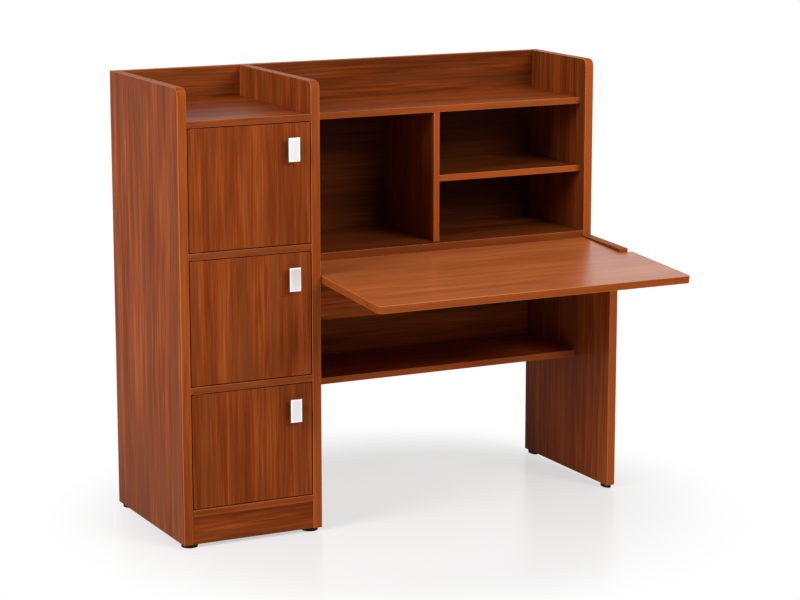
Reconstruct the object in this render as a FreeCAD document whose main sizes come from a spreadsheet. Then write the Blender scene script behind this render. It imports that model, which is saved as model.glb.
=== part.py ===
import FreeCAD, Part
import math
import os
from collections import defaultdict
from itertools import product
import Sketcher

# Study unit: a tower of three lockers on the left, an open hutch on the right, and between the
# tower and the leg a desk flap that swings up about its rear edge to close the hutch.
# Millimetres, +Z up, front towards -Y. The origin lies on the floor under the middle of the box
# round the whole unit with its flap open.

os.makedirs("parts", exist_ok=True)
doc = FreeCAD.newDocument("study_unit")

# Driving dimensions. A "level" is an underside, measured from the panels' lower ends.
SIZES = {
    # carcass
    "unit_width": 1310,
    "tower_width": 394,
    "panel_depth": 480,
    "panel_height": 1190,
    "foot_height": 10,
    "side_thickness": 25,
    "board_thickness": 18,
    "back_thickness": 8,
    "corner_radius": 20,
    "edge_radius": 1.5,
    # locker tower
    "plinth_height": 74,
    "plinth_recess": 3,
    "lower_locker_height": 308,
    "middle_locker_height": 331,
    "tower_tray_depth": 84,
    # locker doors and their pivots
    "door_thickness": 18,
    "door_recess": 1,
    "door_gap": 2.5,
    "hinge_gap": 3,
    "hinge_inset": 20,
    "pin_diameter": 6,
    "pin_seat": 14,
    "door_block_width": 24,
    "door_block_depth": 13,
    "door_block_seat": 8,
    "door_block_rise": 2,
    # pull handles
    "handle_width": 32,
    "handle_height": 62,
    "handle_plate": 4,
    "handle_standoff": 20,
    "handle_side": 37,
    "handle_drop": 36,
    "handle_chamfer": 0.8,
    "stem_width": 12,
    "stem_height": 44,
    # magnetic catches
    "catch_length": 36,
    "catch_height": 14,
    "catch_depth": 18,
    "catch_side": 40,
    "catch_ear": 9,
    "ear_thickness": 2.5,
    "strike_length": 30,
    "strike_height": 9,
    "strike_thickness": 1.2,
    "strike_drop": 1.5,
    # hutch
    "hutch_depth": 320,
    "hutch_setback": 27,
    "hutch_floor_level": 690,
    "mid_shelf_offset": 4,
    "hutch_tray_depth": 108,
    "left_bay": 429,
    # desk level
    "rail_height": 40,
    "rail_rise": 4,
    "rail_nose": 37,
    "rail_fall": 8,
    "leg_setback": 12,
    "apron_height": 165,
    "lower_shelf_level": 337,
    "lower_shelf_setback": 200,
    # desk flap and its pivots
    "flap_top_gap": 23,
    "flap_thickness": 20,
    "flap_slope": 3.6,
    "flap_side_gap": 3,
    "flap_overhang": 12,
    "flap_gap": 1,
    "flap_drop": 1,
    "flap_corner": 14,
    "notch_gap": 3,
    "pivot_pin_diameter": 8,
    "pivot_pin_seat": 24,
    "pivot_block_width": 18,
    "pivot_block_seat": 16,
    "pivot_block_rise": 2,
    "batten_width": 20,
    "batten_height": 30,
    "batten_behind": 12,
    "batten_left_length": 76,
    "batten_right_length": 130,
    # sprung latch that holds the closed flap
    "latch_case_width": 12,
    "latch_case_height": 24,
    "latch_case_depth": 13,
    "latch_nose_width": 6,
    "latch_nose_height": 12,
    "latch_proud": 2.5,
    "latch_bevel": 2,
    "latch_from_front": 60,
    "keep_length": 28,
    "keep_height": 11,
    "keep_thickness": 1,
    # loose tongues
    "tongue_length": 30,
    "tongue_seat": 12,
    "tongue_width": 40,
    "tongue_thickness": 6,
    "tongue_margin": 50,
    "tongue_edge": 30,
    # feet
    "foot_diameter": 44,
    "foot_inset": 25,
    "foot_margin": 27,
    # clearances
    "running_gap": 0.06,
    "fit_gap": 0.03,
    "end_gap": 0.3,
}

# Places worked out from the driving dimensions, in the unit's own frame.
PLACES = {
    "tower_left": "-(Sizes.unit_width + Sizes.flap_overhang) / 2",
    "locker_left": "tower_left + Sizes.side_thickness",
    "tower_clear": "Sizes.tower_width - 2 * Sizes.side_thickness",
    "locker_right": "locker_left + tower_clear",
    "bay_left": "tower_left + Sizes.tower_width",
    "leg_face": "tower_left + Sizes.unit_width - Sizes.side_thickness",
    "bay_clear": "leg_face - bay_left",
    "divider_left": "bay_left + Sizes.left_bay",
    "divider_right": "divider_left + Sizes.board_thickness",
    "panel_top": "Sizes.foot_height + Sizes.panel_height",
    "hutch_floor_z": "Sizes.foot_height + Sizes.hutch_floor_level",
    "pivot_z": "hutch_floor_z - Sizes.flap_drop - Sizes.flap_thickness / 2",
    "flap_length": "panel_top - pivot_z - Sizes.flap_top_gap",
    "pivot_setback": "Sizes.panel_depth - Sizes.hutch_depth - Sizes.flap_gap - Sizes.flap_thickness / 2",
    "slope_cos": "cos(Sizes.flap_slope * 1deg)",
    "slope_sin": "sin(Sizes.flap_slope * 1deg)",
    "edge_loss": "Sizes.edge_radius * (slope_cos + slope_sin - 1)",
    "flap_span": "flap_length * slope_cos + Sizes.flap_thickness / 2 * slope_sin - edge_loss",
    "flap_reach": "flap_span - pivot_setback",
    "front": "(flap_reach - Sizes.panel_depth) / 2",
    "back": "front + Sizes.panel_depth",
    "back_face": "back - Sizes.back_thickness",
    "board_depth": "Sizes.panel_depth - Sizes.back_thickness",
    "hutch_front": "back - Sizes.hutch_depth",
    "shelf_front": "hutch_front + Sizes.hutch_setback",
    "shelf_depth": "Sizes.hutch_depth - Sizes.hutch_setback",
    "lower_shelf_front": "front + Sizes.lower_shelf_setback",
    "gallery_front": "back - Sizes.board_thickness",
    "bottom_z": "Sizes.foot_height + Sizes.plinth_height",
    "shelf_lower_z": "bottom_z + Sizes.board_thickness + Sizes.lower_locker_height",
    "shelf_upper_z": "shelf_lower_z + Sizes.board_thickness + Sizes.middle_locker_height",
    "tower_top_z": "panel_top - Sizes.tower_tray_depth - Sizes.board_thickness",
    "hutch_top_z": "panel_top - Sizes.hutch_tray_depth - Sizes.board_thickness",
    "mid_shelf_z": "(hutch_floor_z + hutch_top_z) / 2 - Sizes.mid_shelf_offset",
    "lower_shelf_z": "Sizes.foot_height + Sizes.lower_shelf_level",
    "apron_z": "hutch_floor_z - Sizes.apron_height",
    "rail_top": "hutch_floor_z + Sizes.rail_rise",
    "rail_z": "rail_top - Sizes.rail_height",
    "door_left": "locker_left + Sizes.hinge_gap",
    "door_width": "tower_clear - Sizes.hinge_gap - Sizes.door_gap",
    "door_front": "front + Sizes.door_recess",
    "door_back": "door_front + Sizes.door_thickness",
    "hinge_x": "door_left + Sizes.hinge_inset",
    "hinge_y": "door_front + Sizes.door_thickness / 2",
    "handle_x": "door_left + door_width - Sizes.handle_side - Sizes.handle_width",
    "catch_x": "locker_right - Sizes.catch_side - Sizes.catch_length",
    "catch_y": "door_back + Sizes.strike_thickness + Sizes.end_gap",
    "pivot_y": "front + pivot_setback",
    "flap_left": "bay_left + Sizes.flap_side_gap",
    "flap_tail": "bay_clear - 2 * Sizes.flap_side_gap",
    "flap_width": "bay_clear + Sizes.side_thickness + Sizes.flap_overhang - Sizes.flap_side_gap",
    "notch_reach": "sqrt((pivot_setback + Sizes.rail_nose)^2 + (rail_top - pivot_z)^2) + Sizes.notch_gap",
    "batten_drop": "Sizes.flap_thickness / 2 + Sizes.end_gap + Sizes.batten_height",
    "latch_reach": "flap_length - Sizes.latch_from_front",
}


def add_sheet(name, cells, prefix):
    """Writes named cells, one to a row, with the name beside the value."""
    sheet = doc.addObject("Spreadsheet::Sheet", name)
    for row, (alias, content) in enumerate(cells.items(), start=1):
        sheet.set(f"A{row}", alias)
        sheet.setAlias(f"B{row}", alias)
        sheet.set(f"B{row}", f"{prefix}{content}")


add_sheet("Sizes", SIZES, "")
add_sheet("Places", PLACES, "=")
doc.recompute()

SIDE = "Sizes.side_thickness"
BOARD = "Sizes.board_thickness"
BASE = "Sizes.foot_height"

blanks = {}
drills = defaultdict(list)


def bind(item, **expressions):
    for path, text in expressions.items():
        item.setExpression(path, text)


def place(item, x, y, z):
    for axis, text in zip("xyz", (x, y, z)):
        item.setExpression(f".Placement.Base.{axis}", text)


def sketch_on(body, name, role, offset="0"):
    """An empty sketch on one of the body's own planes, moved along the plane's normal."""
    sketch = body.newObject("Sketcher::SketchObject", name)
    plane = next(item for item in body.Origin.OriginFeatures if item.Role == role)
    sketch.AttachmentSupport = (plane, [""])
    sketch.MapMode = "FlatFace"
    sketch.setExpression(".AttachmentOffset.Base.z", offset)
    return sketch


def constrain(sketch, kind, *where):
    return sketch.addConstraint(Sketcher.Constraint(kind, *where))


def measure(sketch, kind, expression, *where):
    """Adds a measured constraint and binds its value."""
    index = constrain(sketch, kind, *where)
    sketch.setExpression(f"Constraints[{index}]", expression)


def rectangle(sketch, width, height, left="0", low="0"):
    """A rectangle whose lower left corner stands at (left, low) from the sketch's origin."""
    start = 10
    corners = [FreeCAD.Vector(x, y) for x, y in ((0, 0), (start, 0), (start, start), (0, start))]
    lines = [sketch.addGeometry(Part.LineSegment(corners[index], corners[(index + 1) % 4]))
             for index in range(4)]
    for index, line in enumerate(lines):
        constrain(sketch, "Coincident", line, 2, lines[(index + 1) % 4], 1)
        constrain(sketch, "Vertical" if index % 2 else "Horizontal", line)
    foot, right = lines[:2]
    measure(sketch, "DistanceX", left, -1, 1, foot, 1, 0)
    measure(sketch, "DistanceY", low, -1, 1, foot, 1, 0)
    measure(sketch, "DistanceX", width, foot, 1, foot, 2, start)
    measure(sketch, "DistanceY", height, right, 1, right, 2, start)


def circle(sketch, diameter):
    """A circle round the sketch's origin."""
    start = 5
    index = sketch.addGeometry(Part.Circle(FreeCAD.Vector(), FreeCAD.Vector(0, 0, 1), start))
    constrain(sketch, "Coincident", index, 3, -1, 1)
    measure(sketch, "Diameter", diameter, index, 2 * start)


def pad(body, sketch, length, reverse=False):
    feature = body.newObject("PartDesign::Pad", f"{sketch.Name}_pad")
    feature.Profile = sketch
    feature.Reversed = reverse
    bind(feature, Length=length)
    doc.recompute()


def lies_in(edge, axis, level):
    """Whether the whole edge lies in the plane of that level."""
    slack = 1e-4
    ends = (getattr(edge.BoundBox, axis + end) for end in ("Min", "Max"))
    return all(abs(end - level) < slack for end in ends)


def dress(body, kind, radius, chosen):
    """Rounds ("Fillet") or breaks ("Chamfer") the edges that the test picks."""
    tip = body.Tip
    box = tip.Shape.BoundBox
    names = [f"Edge{index}" for index, edge in enumerate(tip.Shape.Edges, start=1) if chosen(edge, box)]
    feature = body.newObject(f"PartDesign::{kind}", f"{body.Name}_{kind}_{len(body.Group)}")
    feature.Base = (tip, names)
    bind(feature, **{"Radius" if kind == "Fillet" else "Size": radius})
    doc.recompute()


def front_face(edge, box):
    return lies_in(edge, "Y", box.YMin)


def front_long(edge, box):
    return lies_in(edge, "Y", box.YMin) and edge.BoundBox.XLength > edge.BoundBox.ZLength


def top_long(edge, box):
    return lies_in(edge, "Z", box.ZMax) and edge.BoundBox.XLength > edge.BoundBox.YLength


def front_corner(edge, box):
    return lies_in(edge, "Y", box.YMin) and lies_in(edge, "Z", box.ZMax)


def front_and_top(edge, box):
    """Edges of a side panel's two faces, without those along its back and its foot."""
    on_face = lies_in(edge, "X", box.XMin) or lies_in(edge, "X", box.XMax)
    return on_face and not lies_in(edge, "Y", box.YMax) and not lies_in(edge, "Z", box.ZMin)


def board(label, plane, width, height, thickness, x, y, z, soft=None, corner=None):
    """A flat board: a rectangle on a plane, padded to its thickness, with softened edges.

    Its own origin is the left, front, lower corner.
    """
    body = doc.addObject("PartDesign::Body", label)
    sketch = sketch_on(body, f"{label}_outline", plane)
    rectangle(sketch, width, height)
    pad(body, sketch, thickness, reverse=plane == "XZ_Plane")
    if corner:
        dress(body, "Fillet", corner, front_corner)
    if soft:
        dress(body, "Fillet", "Sizes.edge_radius", soft)
    place(body, x, y, z)
    blanks[label] = body


def shelf(label, width, depth, x, y, z):
    board(label, "XY_Plane", width, depth, BOARD, x, y, z, soft=front_long)


def side(label, depth, height, x, y, z, corner="Sizes.corner_radius"):
    board(label, "YZ_Plane", depth, height, SIDE, x, y, z, soft=front_and_top, corner=corner)


def upright(label, width, height, thickness, x, y, z, soft=None):
    board(label, "XZ_Plane", width, height, thickness, x, y, z, soft=soft)


TURNS = {"X": FreeCAD.Rotation(FreeCAD.Vector(0, 1, 0), 90), "Z": FreeCAD.Rotation()}


def rod(name, diameter, length, axis, x, y, z):
    """A cylinder along +X or +Z from the point given."""
    item = doc.addObject("Part::Cylinder", name)
    item.Placement = FreeCAD.Placement(FreeCAD.Vector(), TURNS[axis])
    bind(item, Radius=f"({diameter}) / 2", Height=length)
    place(item, x, y, z)
    return item


def block(name, length, width, height, x, y, z):
    item = doc.addObject("Part::Box", name)
    bind(item, Length=length, Width=width, Height=height)
    place(item, x, y, z)
    return item


def group(label, items):
    """Several like solids that share one node."""
    item = doc.addObject("Part::Compound", label)
    item.Links = items
    return item


def fuse(name, base, tool):
    item = doc.addObject("Part::Fuse", name)
    item.Base = base
    item.Tool = tool
    return item


def seat_for(name, length, width, height, x, y, z):
    """The recess that takes a block of that size with a small clearance all round."""
    grown = [f"{size} + 2 * Sizes.fit_gap" for size in (length, width, height)]
    return block(name, *grown, *[f"{start} - Sizes.fit_gap" for start in (x, y, z)])


def pivot_block(name, plane, width, height, bore, thickness, x, y, z):
    """A moulded block with a bore through its middle; its own origin is on the bore's axis."""
    body = doc.addObject("PartDesign::Body", name)
    outline = sketch_on(body, f"{name}_outline", plane)
    rectangle(outline, width, height, f"-({width}) / 2", f"-({height}) / 2")
    circle(outline, bore)
    pad(body, outline, thickness)
    place(body, x, y, z)
    return body


# Locker tower: two full-height sides with four boards, a plinth, a thin back and a gallery rail.
for label, x in (("tower_left_side", "Places.tower_left"), ("tower_right_side", "Places.locker_right")):
    side(label, "Sizes.panel_depth", "Sizes.panel_height", x, "Places.front", BASE)
LOCKER_BOARDS = {
    "tower_bottom": "Places.bottom_z",
    "tower_shelf_lower": "Places.shelf_lower_z",
    "tower_shelf_upper": "Places.shelf_upper_z",
}
for label, level in LOCKER_BOARDS.items():
    shelf(label, "Places.tower_clear", "Places.board_depth", "Places.locker_left", "Places.front", level)
shelf("tower_top", "Places.tower_clear", "Sizes.panel_depth", "Places.locker_left", "Places.front",
      "Places.tower_top_z")
upright("tower_plinth", "Places.tower_clear", "Sizes.plinth_height", BOARD, "Places.locker_left",
        "Places.front + Sizes.plinth_recess", BASE)
upright("tower_back", "Places.tower_clear", "Places.tower_top_z - Places.bottom_z",
        "Sizes.back_thickness", "Places.locker_left", "Places.back_face", "Places.bottom_z")
upright("tower_gallery", "Places.tower_clear", "Sizes.tower_tray_depth", BOARD, "Places.locker_left",
        "Places.gallery_front", f"Places.tower_top_z + {BOARD}", soft=top_long)

def rail_outline(sketch):
    """The rail from its side: level under the hutch, its top falling from there to the nose."""
    length, height, level, fall = 500, 40, 300, 8
    corners = [FreeCAD.Vector(x, y) for x, y in (
        (0, 0), (length, 0), (length, height), (length - level, height), (0, height - fall))]
    foot, back, top, slope, nose = [
        sketch.addGeometry(Part.LineSegment(corners[index - 5], corners[index - 4])) for index in range(5)]
    for line, follower in ((foot, back), (back, top), (top, slope), (slope, nose), (nose, foot)):
        constrain(sketch, "Coincident", line, 2, follower, 1)
    for line in (foot, top):
        constrain(sketch, "Horizontal", line)
    for line in (back, nose):
        constrain(sketch, "Vertical", line)
    constrain(sketch, "Coincident", foot, 1, -1, 1)
    measure(sketch, "DistanceX", "Sizes.panel_depth + Sizes.rail_nose", foot, 1, foot, 2, length)
    measure(sketch, "DistanceY", "Sizes.rail_height", back, 1, back, 2, height)
    measure(sketch, "DistanceX", "Sizes.hutch_depth", top, 2, top, 1, level)
    measure(sketch, "DistanceY", "Sizes.rail_height - Sizes.rail_fall", nose, 2, nose, 1, height - fall)


# Hutch and desk bay: the right side is a leg, a rail along its top and a shallower side above.
side("right_leg", "Sizes.panel_depth - Sizes.leg_setback", "Places.rail_z - Sizes.foot_height",
     "Places.leg_face", "Places.front + Sizes.leg_setback", BASE, corner=None)
rail = doc.addObject("PartDesign::Body", "leg_rail")
rail_outline(sketch_on(rail, "leg_rail_outline", "YZ_Plane"))
pad(rail, rail.Group[-1], SIDE)
dress(rail, "Fillet", "Sizes.edge_radius", front_and_top)
place(rail, "Places.leg_face", "Places.front - Sizes.rail_nose", "Places.rail_z")
blanks["leg_rail"] = rail
side("hutch_right_side", "Sizes.hutch_depth", "Places.panel_top - Places.rail_top", "Places.leg_face",
     "Places.hutch_front", "Places.rail_top")
shelf("hutch_floor", "Places.bay_clear", "Sizes.hutch_depth - Sizes.back_thickness", "Places.bay_left",
      "Places.hutch_front", "Places.hutch_floor_z")
shelf("hutch_top_shelf", "Places.bay_clear", "Places.shelf_depth", "Places.bay_left", "Places.shelf_front",
      "Places.hutch_top_z")
shelf("hutch_mid_shelf", "Places.leg_face - Places.divider_right",
      "Places.shelf_depth - Sizes.back_thickness", "Places.divider_right", "Places.shelf_front",
      "Places.mid_shelf_z")
board("hutch_divider", "YZ_Plane", "Places.shelf_depth - Sizes.back_thickness",
      f"Places.hutch_top_z - Places.hutch_floor_z - {BOARD}", BOARD, "Places.divider_left",
      "Places.shelf_front", f"Places.hutch_floor_z + {BOARD}",
      soft=lambda edge, box: front_face(edge, box) and edge.BoundBox.ZLength > edge.BoundBox.XLength)
upright("hutch_back", "Places.bay_clear", "Places.hutch_top_z - Places.hutch_floor_z",
        "Sizes.back_thickness", "Places.bay_left", "Places.back_face", "Places.hutch_floor_z")
upright("hutch_gallery", "Places.bay_clear", "Sizes.hutch_tray_depth", BOARD, "Places.bay_left",
        "Places.gallery_front", f"Places.hutch_top_z + {BOARD}", soft=top_long)
upright("apron_rail", "Places.bay_clear", "Sizes.apron_height", BOARD, "Places.bay_left",
        "Places.hutch_front", "Places.apron_z")
shelf("lower_shelf", "Places.bay_clear", "Places.back_face - Places.lower_shelf_front", "Places.bay_left",
      "Places.lower_shelf_front", "Places.lower_shelf_z")
upright("lower_back", "Places.bay_clear", "Places.hutch_floor_z - Places.lower_shelf_z",
        "Sizes.back_thickness", "Places.bay_left", "Places.back_face", "Places.lower_shelf_z")

# Locker doors: each turns on two steel pins near its left edge, in nylon blocks let into the boards
# above and below it. A magnetic catch under the upper board holds it shut.
LOCKERS = {
    "lower": ("tower_bottom", "tower_shelf_lower", f"(Places.bottom_z + {BOARD})", "Places.shelf_lower_z"),
    "middle": ("tower_shelf_lower", "tower_shelf_upper", f"(Places.shelf_lower_z + {BOARD})",
               "Places.shelf_upper_z"),
    "upper": ("tower_shelf_upper", "tower_top", f"(Places.shelf_upper_z + {BOARD})", "Places.tower_top_z"),
}
HINGE = ("Places.hinge_x", "Places.hinge_y")
nodes = {}
door_blocks = []


def door_pivots(name, floor_board, ceiling_board, floor, ceiling):
    """The two pins of a door and the two blocks that they turn in."""
    pin_length = "Sizes.door_block_seat - Sizes.end_gap + Sizes.door_gap + Sizes.pin_seat"
    pin_foot = f"{floor} - Sizes.door_block_seat + Sizes.end_gap"
    pin_head = f"{ceiling} - Sizes.door_gap - Sizes.pin_seat"
    pins = []
    for end, start in (("foot", pin_foot), ("head", pin_head)):
        pins.append(rod(f"pin_{name}_{end}", "Sizes.pin_diameter", pin_length, "Z", *HINGE, start))
        seat = rod(f"pin_{name}_{end}_hole", "Sizes.pin_diameter + 2 * Sizes.fit_gap", pin_length, "Z",
                   *HINGE, start)
        drills[f"door_{name}"].append(seat)
    nodes[f"door_pins_{name}"] = group(f"door_pins_{name}", pins)
    bore = "Sizes.pin_diameter + 2 * Sizes.running_gap"
    width = "Sizes.door_block_width"
    depth = "Sizes.door_block_depth"
    height = "Sizes.door_block_seat + Sizes.door_block_rise"
    corner = [f"Places.hinge_x - {width} / 2", f"Places.hinge_y - {depth} / 2"]
    for end, carrier, start in (("foot", floor_board, f"{floor} - Sizes.door_block_seat"),
                                ("head", ceiling_board, f"{ceiling} - Sizes.door_block_rise")):
        label = f"door_block_{name}_{end}"
        door_blocks.append(pivot_block(label, "XY_Plane", width, depth, bore, height, *HINGE, start))
        drills[carrier].append(seat_for(f"{label}_seat", width, depth, height, *corner, start))


def pull_handle(name, ceiling):
    """A plate pull on a narrower stem, in one casting."""
    label = f"handle_{name}"
    body = doc.addObject("PartDesign::Body", label)
    stem_length = "Sizes.handle_standoff - Sizes.handle_plate"
    stem = sketch_on(body, f"{label}_stem", "XZ_Plane")
    rectangle(stem, "Sizes.stem_width", "Sizes.stem_height", "(Sizes.handle_width - Sizes.stem_width) / 2",
              "(Sizes.handle_height - Sizes.stem_height) / 2")
    pad(body, stem, stem_length)
    plate = sketch_on(body, f"{label}_plate", "XZ_Plane", stem_length)
    rectangle(plate, "Sizes.handle_width", "Sizes.handle_height")
    pad(body, plate, "Sizes.handle_plate")
    dress(body, "Chamfer", "Sizes.handle_chamfer", front_face)
    low = f"{ceiling} - Sizes.door_gap - Sizes.handle_drop - Sizes.handle_height"
    place(body, "Places.handle_x", "Places.door_front", low)
    nodes[label] = body


for name, (floor_board, ceiling_board, floor, ceiling) in LOCKERS.items():
    upright(f"door_{name}", "Places.door_width", f"{ceiling} - {floor} - 2 * Sizes.door_gap",
            "Sizes.door_thickness", "Places.door_left", "Places.door_front", f"{floor} + Sizes.door_gap",
            soft=front_face)
    door_pivots(name, floor_board, ceiling_board, floor, ceiling)
    pull_handle(name, ceiling)
    housing = block(f"catch_{name}_housing", "Sizes.catch_length", "Sizes.catch_depth",
                    "Sizes.catch_height", "Places.catch_x", "Places.catch_y",
                    f"{ceiling} - Sizes.catch_height")
    ears = block(f"catch_{name}_ears", "Sizes.catch_length + 2 * Sizes.catch_ear", "Sizes.catch_depth / 2",
                 "Sizes.ear_thickness", "Places.catch_x - Sizes.catch_ear",
                 "Places.catch_y + Sizes.catch_depth / 4", f"{ceiling} - Sizes.ear_thickness")
    nodes[f"magnetic_catch_{name}"] = fuse(f"magnetic_catch_{name}", housing, ears)
    nodes[f"strike_plate_{name}"] = block(
        f"strike_plate_{name}", "Sizes.strike_length", "Sizes.strike_thickness", "Sizes.strike_height",
        "Places.catch_x + (Sizes.catch_length - Sizes.strike_length) / 2", "Places.door_back",
        f"{ceiling} - Sizes.door_gap - Sizes.strike_drop - Sizes.strike_height")
nodes["door_pivot_blocks"] = group("door_pivot_blocks", door_blocks)

# Desk flap. Its own origin is the pivot axis at its left end. The rear edge is a half round about
# that axis, and the wider front part is notched back from the rail that stands beside its tail.
HALF_FLAP = "Sizes.flap_thickness / 2"


def tilt(body, x):
    """Stands a piece on the pivot axis, turned down to the open flap's slope."""
    body.Placement = FreeCAD.Placement(FreeCAD.Vector(), FreeCAD.Rotation(FreeCAD.Vector(1, 0, 0), 1))
    body.setExpression(".Placement.Rotation.Angle", "Sizes.flap_slope * 1deg")
    place(body, x, "Places.pivot_y", "Places.pivot_z")


def flap_profile(sketch):
    """Side view of the flap: a half round about the axis, and two faces running to a square front."""
    radius = SIZES["flap_thickness"] / 2
    length = SIZES["panel_height"] - SIZES["hutch_floor_level"]
    ring = Part.Circle(FreeCAD.Vector(), FreeCAD.Vector(0, 0, 1), radius)
    nose = sketch.addGeometry(Part.ArcOfCircle(ring, -math.pi / 2, math.pi / 2))
    ends = ((0, radius), (-length, radius), (-length, -radius), (0, -radius))
    corners = [FreeCAD.Vector(x, y) for x, y in ends]
    top, front, low = (sketch.addGeometry(Part.LineSegment(corners[index], corners[index + 1]))
                       for index in range(3))
    constrain(sketch, "Coincident", nose, 3, -1, 1)
    constrain(sketch, "Tangent", nose, 2, top, 1)
    constrain(sketch, "Coincident", top, 2, front, 1)
    constrain(sketch, "Coincident", front, 2, low, 1)
    constrain(sketch, "Tangent", low, 2, nose, 1)
    constrain(sketch, "Horizontal", top)
    constrain(sketch, "Horizontal", low)
    constrain(sketch, "Vertical", front)
    measure(sketch, "Radius", HALF_FLAP, nose, radius)
    measure(sketch, "DistanceX", "Places.flap_length", front, 1, -1, 1, length)


def pocket(body, sketch, through_all, length=None, reverse=False):
    before = body.Tip.Shape.Volume
    feature = body.newObject("PartDesign::Pocket", f"{sketch.Name}_pocket")
    feature.Profile = sketch
    feature.Reversed = reverse
    if through_all:
        feature.Type = "ThroughAll"
        feature.SideType = "Symmetric"
    else:
        bind(feature, Length=length)
    doc.recompute()
    assert feature.Shape.Volume < before, f"{sketch.Name} cuts nothing"


flap = doc.addObject("PartDesign::Body", "desk_flap")
profile = sketch_on(flap, "desk_flap_profile", "YZ_Plane")
flap_profile(profile)
pad(flap, profile, "Places.flap_width")
notch = sketch_on(flap, "desk_flap_notch", "XY_Plane")
rectangle(notch, "Places.flap_width - Places.flap_tail + Sizes.notch_gap",
          "Places.notch_reach + Sizes.flap_thickness", "Places.flap_tail", "-Places.notch_reach")
pocket(flap, notch, through_all=True)
keep_seat = sketch_on(flap, "desk_flap_keep_seat", "YZ_Plane")
rectangle(keep_seat, "Sizes.keep_length + 2 * Sizes.fit_gap", "Sizes.keep_height + 2 * Sizes.fit_gap",
          "-Places.latch_reach - Sizes.keep_length / 2 - Sizes.fit_gap",
          "-Sizes.keep_height / 2 - Sizes.fit_gap")
pocket(flap, keep_seat, through_all=False, length="Sizes.keep_thickness", reverse=True)
dress(flap, "Fillet", "Sizes.flap_corner",
      lambda edge, box: lies_in(edge, "Y", box.YMin) and edge.BoundBox.ZLength > edge.BoundBox.XLength)
dress(flap, "Fillet", "Sizes.edge_radius",
      lambda edge, box: (lies_in(edge, "Z", box.ZMin) or lies_in(edge, "Z", box.ZMax))
      and not lies_in(edge, "Y", 0))
tilt(flap, "Places.flap_left")
blanks["desk_flap"] = flap

# Flap pivots: a steel pin in each end of the flap's tail, turning in a nylon block let into the
# tower's side and in another in the leg's rail.
PIVOT = ("Places.pivot_y", "Places.pivot_z")
pin_reach = "Sizes.pivot_pin_seat + Sizes.flap_side_gap + Sizes.pivot_block_seat - Sizes.end_gap"
pivot_hole = "Sizes.pivot_pin_diameter + 2 * Sizes.fit_gap"
pivot_bore = "Sizes.pivot_pin_diameter + 2 * Sizes.running_gap"
block_width = "Sizes.pivot_block_width"
block_length = "Sizes.pivot_block_seat + Sizes.pivot_block_rise"
block_corner = [f"{centre} - {block_width} / 2" for centre in PIVOT]
pivot_pins = []
pivot_blocks = []
PIVOT_ENDS = (
    ("left", "tower_right_side", "Places.bay_left - Sizes.pivot_block_seat + Sizes.end_gap",
     "Places.bay_left - Sizes.pivot_block_seat"),
    ("right", "leg_rail", "Places.leg_face - Sizes.flap_side_gap - Sizes.pivot_pin_seat",
     "Places.leg_face - Sizes.pivot_block_rise"),
)
for end, carrier, pin_start, block_start in PIVOT_ENDS:
    pivot_pins.append(rod(f"flap_pin_{end}", "Sizes.pivot_pin_diameter", pin_reach, "X", pin_start, *PIVOT))
    drills["desk_flap"].append(rod(f"flap_pin_{end}_hole", pivot_hole, pin_reach, "X", pin_start, *PIVOT))
    label = f"flap_block_{end}"
    pivot_blocks.append(pivot_block(label, "YZ_Plane", block_width, block_width, pivot_bore, block_length,
                                    block_start, *PIVOT))
    drills[carrier].append(seat_for(f"{label}_seat", block_length, block_width, block_width, block_start,
                                    *block_corner))
nodes["flap_pivot_pins"] = group("flap_pivot_pins", pivot_pins)
nodes["flap_pivot_blocks"] = group("flap_pivot_blocks", pivot_blocks)

# Support battens: hardwood bars on the tower's side and on the leg, lying under the open flap.
for end, x, length in (("left", "Places.bay_left", "Sizes.batten_left_length"),
                       ("right", "Places.leg_face - Sizes.batten_width", "Sizes.batten_right_length")):
    label = f"flap_batten_{end}"
    body = doc.addObject("PartDesign::Body", label)
    outline = sketch_on(body, f"{label}_outline", "XY_Plane", "-Places.batten_drop")
    rectangle(outline, "Sizes.batten_width", length, "0", f"-Sizes.batten_behind - {length}")
    pad(body, outline, "Sizes.batten_height")
    dress(body, "Fillet", "Sizes.batten_height / 2",
          lambda edge, box: lies_in(edge, "Y", box.YMin) and lies_in(edge, "Z", box.ZMin))
    tilt(body, x)
    nodes[label] = body

# Latch: a sprung nose in the tower's side, drawn pressed in as the flap's edge passes it. It snaps
# into the opening of a keep plate let into that edge and holds the flap closed.
closed_latch = "Places.pivot_z + Places.latch_reach"
latch = doc.addObject("PartDesign::Body", "flap_latch")
LATCH_PARTS = (("case", "Sizes.latch_case_depth", True), ("nose", "Sizes.latch_proud", False))
for name, length, inward in LATCH_PARTS:
    width = f"Sizes.latch_{name}_width"
    height = f"Sizes.latch_{name}_height"
    face = sketch_on(latch, f"flap_latch_{name}", "YZ_Plane")
    rectangle(face, width, height, f"-{width} / 2", f"-{height} / 2")
    pad(latch, face, length, reverse=inward)
dress(latch, "Chamfer", "Sizes.latch_bevel",
      lambda edge, box: lies_in(edge, "X", box.XMax) and edge.BoundBox.ZLength > edge.BoundBox.YLength)
place(latch, "Places.bay_left", "Places.pivot_y", closed_latch)
nodes["flap_latch"] = latch
drills["tower_right_side"].append(
    seat_for("flap_latch_seat", "Sizes.latch_case_depth", "Sizes.latch_case_width",
             "Sizes.latch_case_height", "Places.bay_left - Sizes.latch_case_depth",
             "Places.pivot_y - Sizes.latch_case_width / 2",
             f"{closed_latch} - Sizes.latch_case_height / 2"))
keep = doc.addObject("PartDesign::Body", "flap_keep_plate")
keep_outline = sketch_on(keep, "flap_keep_plate_outline", "YZ_Plane")
rectangle(keep_outline, "Sizes.keep_length", "Sizes.keep_height",
          "-Places.latch_reach - Sizes.keep_length / 2", "-Sizes.keep_height / 2")
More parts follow.
